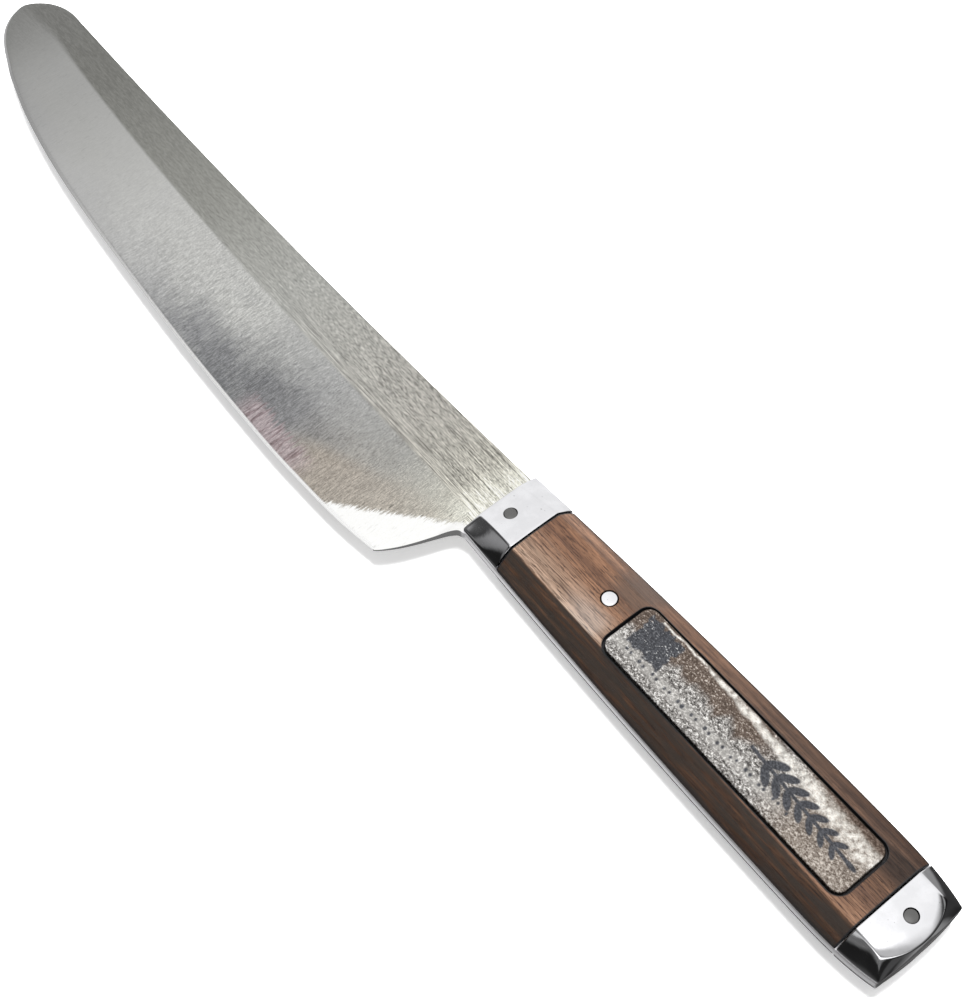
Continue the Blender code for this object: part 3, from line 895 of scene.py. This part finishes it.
def ear_of_wheat(x, y, root, tip, kernels=7):
    """Generic ear of wheat: a stem, pairs of kernels and one at the end."""
    rx, ry = root
    tx, ty = tip
    length = math.hypot(tx - rx, ty - ry)
    ux, uy = (tx - rx) / length, (ty - ry) / length
    s = (x - rx) * ux + (y - ry) * uy
    d = -(x - rx) * uy + (y - ry) * ux
    stem = np.maximum(np.abs(d) - 0.42, np.maximum(-s, s - length))
    mask = step_in(stem)
    for i in range(kernels):
        centre = length * (0.22 + 0.66 * i / (kernels - 1))
        size = 1.0 - 0.35 * i / (kernels - 1)
        for turn in (1, -1):
            a = math.radians(38) * turn
            px, py = s - centre, d - turn * 1.75 * size
            along = px * math.cos(a) + py * math.sin(a)
            side = -px * math.sin(a) + py * math.cos(a)
            kernel = np.hypot(along / (2.6 * size), side / (1.0 * size)) - 1
            mask = np.maximum(mask, step_in(kernel * 0.9))
    head = np.hypot((s - length - 0.6) / 1.7, d / 0.6) - 1
    return np.maximum(mask, step_in(head * 0.6))


def build_plate(mat):
    step = 0.16
    x0, x1 = PLATE_X
    yc = (PLATE_Y[0] + PLATE_Y[1]) / 2
    xs = np.linspace(x0, x1, int((x1 - x0) / step) + 1)
    vs = np.linspace(-1, 1, int((PLATE_Y[1] - PLATE_Y[0]) / step) + 1)
    half = np.array([plate_half_y(x) for x in xs])
    X = np.repeat(xs[:, None], len(vs), 1)
    Y = yc + half[:, None] * vs[None, :]
    # distance to the rim of the rounded plate
    hx, hy = (x1 - x0) / 2 - PLATE_CORNER, (PLATE_Y[1] - PLATE_Y[0]) / 2 - PLATE_CORNER
    qx, qy = np.abs(X - (x0 + x1) / 2) - hx, np.abs(Y - yc) - hy
    outside = np.hypot(np.maximum(qx, 0), np.maximum(qy, 0)) + np.minimum(np.maximum(qx, qy), 0)
    rim = PLATE_CORNER - outside
    field = np.clip((rim - 0.7) / 0.5, 0, 1)
    # ornament: an etched panel, a row of dots and an ear of wheat
    v = (Y - yc) / ((PLATE_Y[1] - PLATE_Y[0]) / 2)
    wave = lattice_noise(X, Y * 0, 3.1, 21) + 0.5 * lattice_noise(X, Y * 0, 1.2, 22)
    px, py = X - 49.0, Y - (yc + 1.8)
    panel = np.maximum(np.abs(px) - 4.8, np.abs(py) - 4.0)
    panel = step_in(panel + 0.6 * lattice_noise(X, Y, 0.8, 12), 0.30)
    pitch = 1.3
    k = np.round((X - 46.0) / pitch)
    size = 0.40 + 0.12 * lattice_noise(k * 3.7, k * 0 + 0.5, 1.0, 14)
    off = yc - 3.5 + 0.012 * (X - 46.0) + 0.35 * lattice_noise(k * 5.3, k * 0 + 0.5, 1.0, 15)
    dot_ink = step_in(np.hypot(X - (46.0 + k * pitch), (Y - off) * 0.85) - size, 0.16)
    dot_ink = dot_ink * ((X > 45.5) & (X < 93.0)) * (np.sin(k * 2.1) > -0.75)
    wheat = ear_of_wheat(X, Y, (78.0, yc + 1.5), (107.5, yc - 0.9))
    pale_row = np.clip(1.6 - np.abs(Y - yc + 3.4) / 1.1, 0, 1) * np.clip((94.0 - X) / 4, 0, 1)
    ink = np.clip(np.maximum(np.maximum(panel, dot_ink), wheat), 0, 1) * (rim > 0.9)
    # a painted highlight streak that drifts inwards, painted shade beyond it and on the far half
    line = np.interp(X, [46, 57, 70, 77, 85, 95, 108], [6.3, 6.6, 6.1, 5.5, 4.9, 3.8, 2.7]) + 0.25 * wave
    width = np.interp(X, [46, 60, 66, 72, 80, 86, 95], [0.2, 0.25, 0.6, 0.9, 0.75, 1.3, 1.8])
    beyond = Y - yc - line
    plate_shade = np.clip((v - 0.04 + 0.16 * wave) / 0.28, 0, 1) * np.clip((86 - X) / 8, 0, 1)
    plate_shade = np.maximum(plate_shade, np.clip((beyond - width) / 1.2, 0, 1) * np.clip((X - 86) / 8, 0, 1))
    wear_and_highlight = np.clip(1.5 - np.abs(beyond) / width, 0, 1) * (X > 46.5)
    wear_and_highlight *= np.clip(0.8 + 0.6 * lattice_noise(X, Y, 0.8, 23) - 0.25 * np.clip((X - 90) / 8, 0, 1), 0, 1)
    # relief: raised rim, hammered ground, sunk ornament
    rough = np.clip((96.0 - X) / 24.0, 0.45, 1.0)
    ground = 0.030 * lattice_noise(X, Y, 1.5, 1) + 0.034 * lattice_noise(X * 0.8, Y * 1.3, 0.62, 2)
    ground += 0.016 * lattice_noise(X, Y, 0.34, 3)
    top = PLATE_Z[1] - 0.075
    Z = top + ground * rough * field - 0.055 * ink
    Z -= 0.10 * v ** 2
    lip = np.exp(-((rim - 0.42) / 0.22) ** 2)
    Z += 0.06 * lip
    edge = np.clip(1 - rim / 0.22, 0, 1)
    Z -= 0.22 * (1 - np.sqrt(np.maximum(1 - edge ** 2, 0)))
    Z = np.minimum(Z, PLATE_Z[1])
    n, m = X.shape
    verts = np.stack([X, Y, Z], 2).reshape(-1, 3)
    faces = []
    for i in range(n - 1):
        for j in range(m - 1):
            a = i * m + j
            faces.append((a, a + m, a + m + 1, a + 1))
    loop = [i * m for i in range(n)] + [(n - 1) * m + j for j in range(1, m)]
    loop += [i * m + m - 1 for i in range(n - 2, -1, -1)] + list(range(m - 2, 0, -1))
    base = len(verts)
    bottom = verts[loop].copy()
    bottom[:, 2] = PLATE_Z[0]
    verts = np.concatenate([verts, bottom])
    count = len(loop)
    for k in range(count):
        a, b = loop[k], loop[(k + 1) % count]
        faces.append((a, b, base + (k + 1) % count, base + k))
    faces.append(tuple(range(base, base + count)))
    masks = {"ink": ink, "plate_shade": plate_shade, "wear_and_highlight": wear_and_highlight, "pale_row": pale_row}
    marks = {key: np.concatenate([mask.ravel(), np.zeros(count)]) for key, mask in masks.items()}
    ob = build_mesh("nameplate_etched", verts, faces, marks)
    return finish_piece(ob, mat, "nameplate", sharp=40)


# ---- pins
def pin_place(node):
    low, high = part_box(node)
    centre = (Vector((low + high) / 2) - Vector(ORIGIN)) / MM
    radius = (high.x - low.x) / 2 / MM
    return (centre.x, centre.y), radius, (low.z - ORIGIN[2]) / MM, (high.z - ORIGIN[2]) / MM


def drill_for(node, gap):
    """Upright cutter for the hole of a pin."""
    centre, radius, _, _ = pin_place(node)
    r = radius + gap
    far = HALF_HEIGHT + 2.0
    return turned(node + "_hole", centre, [(r, -far), (r, far)])


def build_pin(name, node, mat, dome=0.10):
    """Pin with slightly domed, eased ends."""
    centre, r, low, high = pin_place(node)
    ease = 0.16
    top = []
    for k in range(5):
        a = math.radians(90.0 * k / 4)
        top.append((r - ease + ease * math.cos(a), high - ease - dome + ease * math.sin(a)))
    for t in (0.75, 0.5, 0.25, 0.08):
        top.append(((r - ease) * t, high - dome * t * t))
    bottom = [(radius, low + high - z) for radius, z in reversed(top)]
    return finish_piece(turned(name, centre, bottom + top), mat, node)


# ---- build
def build_knife():
    steel = blade_material()
    chrome = polished_material("polished_steel", (0.90, 0.90, 0.92), 0.07)
    rivet = polished_material("rivet_steel", (0.17, 0.168, 0.165), 0.30)
    wood = wood_material()
    pewter = plate_material()

    build_blade(steel)
    gaps = {"bolster_pin": 0.12, "scale_pin_front": 0.3, "scale_pin_rear": 0.3, "cap_pin": 0.12}
    drills = {node: drill_for(node, gap) for node, gap in gaps.items()}
    pocket = pocket_cutter()
    build_bolster("bolster_upper", 1, chrome, drills["bolster_pin"], "front_bolster_upper")
    build_bolster("bolster_lower", -1, chrome, drills["bolster_pin"], "front_bolster_lower")
    scale_drills = [drills["scale_pin_front"], drills["scale_pin_rear"]]
    build_scale("scale_upper", 1, wood, [pocket] + scale_drills, "wood_scale_upper")
    build_scale("scale_lower", -1, wood, scale_drills, "wood_scale_lower")
    build_cap("cap_upper", 1, chrome, drills["cap_pin"], "butt_cap_upper")
    build_cap("cap_lower", -1, chrome, drills["cap_pin"], "butt_cap_lower")
    remove(list(drills.values()) + [pocket])
    build_plate(pewter)
    build_pin("pin_bolster", "bolster_pin", rivet)
    build_pin("pin_scale_front", "scale_pin_front", chrome)
    build_pin("pin_scale_rear", "scale_pin_rear", chrome)
    build_pin("pin_cap", "cap_pin", rivet)


def pocket_cutter():
    """Pocket of the nameplate, flared where it meets the face of the wood."""
    floor = HALF_HEIGHT - POCKET_DEPTH
    levels = [(POCKET_BORDER, floor), (POCKET_BORDER, HALF_HEIGHT - 0.42),
              (POCKET_BORDER + 0.04, HALF_HEIGHT - 0.26), (POCKET_BORDER + 0.10, HALF_HEIGHT - 0.12),
              (POCKET_BORDER + 0.22, HALF_HEIGHT), (POCKET_BORDER + 0.22, HALF_HEIGHT + 2.0)]
    left, right = PLATE_X[0] + PLATE_CORNER, PLATE_X[1] - PLATE_CORNER
    near, far = PLATE_Y[0] + PLATE_CORNER, PLATE_Y[1] - PLATE_CORNER
    rings = []
    for grow, z in levels:
        r = PLATE_CORNER + grow
        ring = []
        for cx, cy, start in ((right, far, 0), (left, far, 90), (left, near, 180), (right, near, 270)):
            for k in range(13):
                a = math.radians(start + 7.5 * k)
                ring.append((cx + r * math.cos(a), cy + r * math.sin(a), z))
        rings.append(ring)
    return build_mesh("pocket_cutter", *loft(rings))


# ---- floor, light, camera
def build_floor():
    size = 3.0
    bm = bmesh.new()
    bmesh.ops.create_grid(bm, x_segments=8, y_segments=8, size=size)
    mesh = bpy.data.meshes.new("floor")
    bm.to_mesh(mesh)
    bm.free()
    ob = bpy.data.objects.new("floor", mesh)
    ob.location = (0, 0, cad_low.z - 0.0002)
    bpy.context.scene.collection.objects.link(ob)
    mesh.materials.append(floor_material())
    ob.visible_glossy = False


def area_light(name, place, target, size, power):
    """Lamp that the polished steel does not mirror."""
    data = bpy.data.lights.new(name, 'AREA')
    data.shape = 'RECTANGLE'
    data.size, data.size_y = size
    data.energy = power
    ob = bpy.data.objects.new(name, data)
    ob.location = place
    ob.rotation_mode = 'QUATERNION'
    ob.rotation_quaternion = (Vector(target) - Vector(place)).to_track_quat('-Z', 'Y')
    ob.visible_glossy = False
    bpy.context.scene.collection.objects.link(ob)


def build_world():
    """Studio surroundings: bright overhead and towards the point of the blade."""
    world = bpy.data.worlds.new("studio")
    bpy.context.scene.world = world
    world.use_nodes = True
    tree = world.node_tree
    background = tree.nodes["Background"]

    def add(kind, **props):
        node = tree.nodes.new(kind)
        for key, value in props.items():
            setattr(node, key, value)
        return node

    coord = add('ShaderNodeTexCoord')
    direction = coord.outputs['Generated']
    parts = add('ShaderNodeSeparateXYZ')
    tree.links.new(direction, parts.inputs[0])
    height = add('ShaderNodeMapRange')
    tree.links.new(parts.outputs['Z'], height.inputs['Value'])
    height.inputs['From Min'].default_value = -1.0

    def by_height(stops):
        """Brightness from (z of the direction, brightness) pairs."""
        ramp = add('ShaderNodeValToRGB')
        tree.links.new(height.outputs['Result'], ramp.inputs['Fac'])
        elements = ramp.color_ramp.elements
        while len(elements) < len(stops):
            elements.new(0.5)
        for element, (z, value) in zip(elements, stops):
            element.position = (z + 1) / 2
            element.color = (value, value, value, 1.0)
        return ramp.outputs['Color']

    def by_side(toward, low, high, to_low=0.0, to_high=1.0):
        """Smooth step on how far the direction points toward a side."""
        dot = add('ShaderNodeVectorMath', operation='DOT_PRODUCT')
        tree.links.new(direction, dot.inputs[0])
        dot.inputs[1].default_value = toward
        step = add('ShaderNodeMapRange', interpolation_type='SMOOTHSTEP')
        tree.links.new(dot.outputs['Value'], step.inputs['Value'])
        for key, value in (('From Min', low), ('From Max', high), ('To Min', to_low), ('To Max', to_high)):
            step.inputs[key].default_value = value
        return step.outputs['Result']

    bright = by_height([(-1.0, 0.90), (-0.45, 0.90), (0.0, 0.95), (0.45, 0.90), (0.55, 0.94),
                        (0.72, 0.95), (0.84, 1.0), (0.914, 1.03), (0.951, 1.08), (0.985, 1.6)])
    dark = by_height([(-1.0, 0.90), (-0.80, 0.80), (-0.58, 0.14), (-0.05, 0.12), (0.06, 0.03), (0.34, 0.025),
                      (0.41, 0.30), (0.52, 0.26), (0.57, 0.05), (0.66, 0.08), (0.76, 0.5), (0.84, 1.0),
                      (0.914, 1.03), (0.951, 1.08), (0.985, 1.6)])
    window = by_height([(0.50, 0.0), (0.56, 3.0), (0.67, 3.0), (0.73, 0.0)])
    mix = add('ShaderNodeMix', data_type='RGBA')
    side = add('ShaderNodeMath', operation='MAXIMUM')
    tree.links.new(by_side((-1.0, 1.2, 0.5), 0.93, 1.06), side.inputs[0])
    tree.links.new(by_side((-0.7, 1.0, 0.2), 0.86, 0.95), side.inputs[1])
    tree.links.new(side.outputs[0], mix.inputs[0])
    tree.links.new(dark, mix.inputs[6])
    tree.links.new(bright, mix.inputs[7])
    # a bright strip low on the near right side draws the rims of the polished steel
    strip = add('ShaderNodeMix', data_type='RGBA', blend_type='ADD')
    tree.links.new(by_side((0.7, -0.7, 0.0), 0.40, 0.60), strip.inputs[0])
    tree.links.new(mix.outputs[2], strip.inputs[6])
    tree.links.new(window, strip.inputs[7])
    tree.links.new(strip.outputs[2], background.inputs['Color'])
    # the person who takes the picture stands in the light, and the far floor is dark
    shade = add('ShaderNodeMath', operation='MULTIPLY')
    tree.links.new(by_side((0.7, -0.7, 0.0), -0.12, 0.20, 1.0, 0.5), shade.inputs[0])
    tree.links.new(by_side((0.5, 0.87, -0.6), 0.76, 0.90, 1.0, 0.3), shade.inputs[1])
    tree.links.new(shade.outputs[0], background.inputs['Strength'])


def build_camera():
    """Camera fitted to the outline of the knife."""
    azimuth, elevation, roll = math.radians(54.4), math.radians(59.19), math.radians(-3.64)
    back = Vector((math.sin(azimuth) * math.cos(elevation), -math.cos(azimuth) * math.cos(elevation),
                   math.sin(elevation)))
    level = Vector((math.cos(azimuth), math.sin(azimuth), 0.0))
    up = back.cross(level)
    right = math.cos(roll) * level + math.sin(roll) * up
    up = back.cross(right)
    data = bpy.data.cameras.new("camera")
    data.sensor_width = 36.0
    data.lens = 61.26
    data.clip_start, data.clip_end = 0.01, 20.0
    ob = bpy.data.objects.new("camera", data)
    place = ORIGIN + np.array([153.02, -114.26, 324.58]) * MM
    ob.matrix_world = Matrix.Translation(Vector(place)) @ Matrix((right, up, back)).transposed().to_4x4()
    bpy.context.scene.collection.objects.link(ob)
    bpy.context.scene.camera = ob


build_camera()
build_floor()
build_world()
area_light("key", (-0.02, 0.15, 1.15), (0, 0, 0), (0.32, 0.32), 25.0)
bpy.context.scene.view_settings.view_transform = 'Standard'
build_knife()
